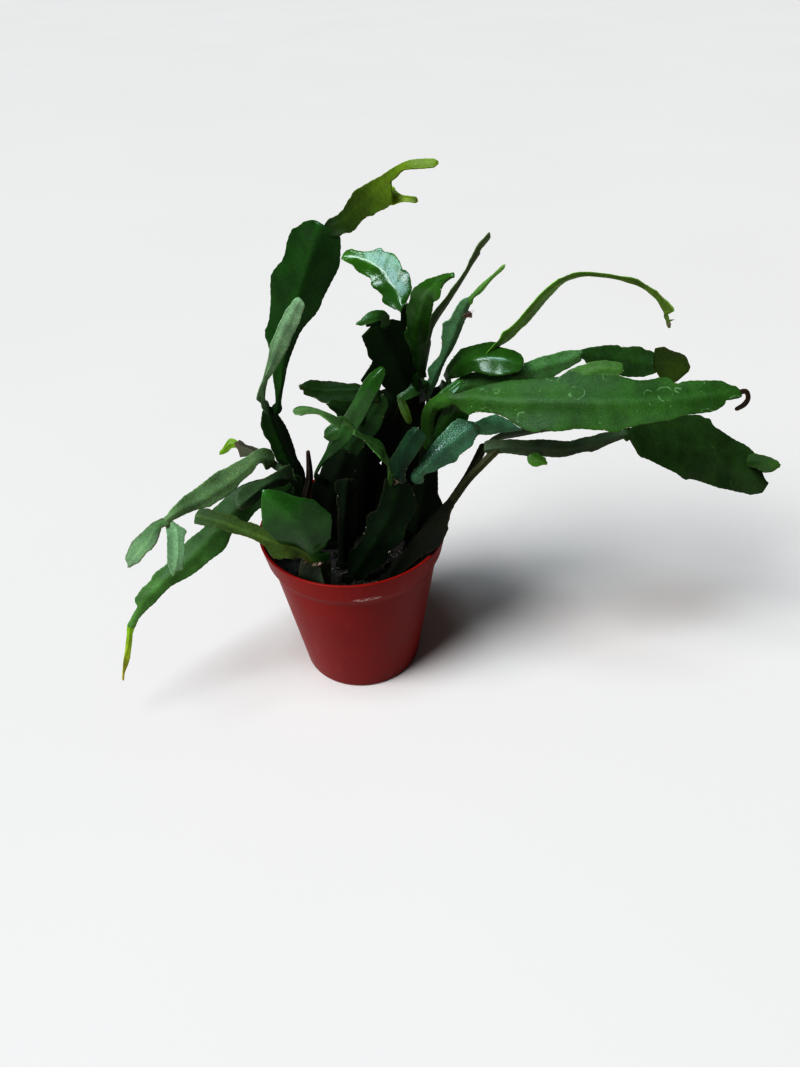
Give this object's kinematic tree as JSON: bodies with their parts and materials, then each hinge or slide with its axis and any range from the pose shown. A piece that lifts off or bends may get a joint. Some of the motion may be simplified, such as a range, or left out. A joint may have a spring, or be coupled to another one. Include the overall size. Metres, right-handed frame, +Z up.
{
  "type": "potted rhipsalis",
  "caption": "Small leafless jungle cactus with flat, notched, jointed stem pads that stand up, arch over and trail from a tapered round nursery pot filled with soil.",
  "frame": {"origin": "centre of the pot's flat foot, on the surface that the pot rests on", "axes": "+Z up, -Y towards the side that the plant is seen from, +X to the right, towards the long trailing pads"},
  "size_m": [0.3134, 0.0999, 0.2482],
  "materials": {
    "pot": "satin",
    "soil": "matte",
    "dry_stem": "matte",
    "pads": "satin"
  },
  "bodies": {
    "root": {"pot": "pot", "soil": "soil", "dry_stub": "dry_stem", "tall_arch_stem": "pads", "left_spray_stem": "pads", "front_stub_stem": "pads", "front_notched_stem": "pads", "narrow_front_stem": "pads", "left_centre_stem": "pads", "old_centre_stem": "pads", "centre_stem": "pads", "right_main_stem": "pads", "back_right_stem": "pads", "right_low_stem": "pads"}
  },
  "joints": []
}
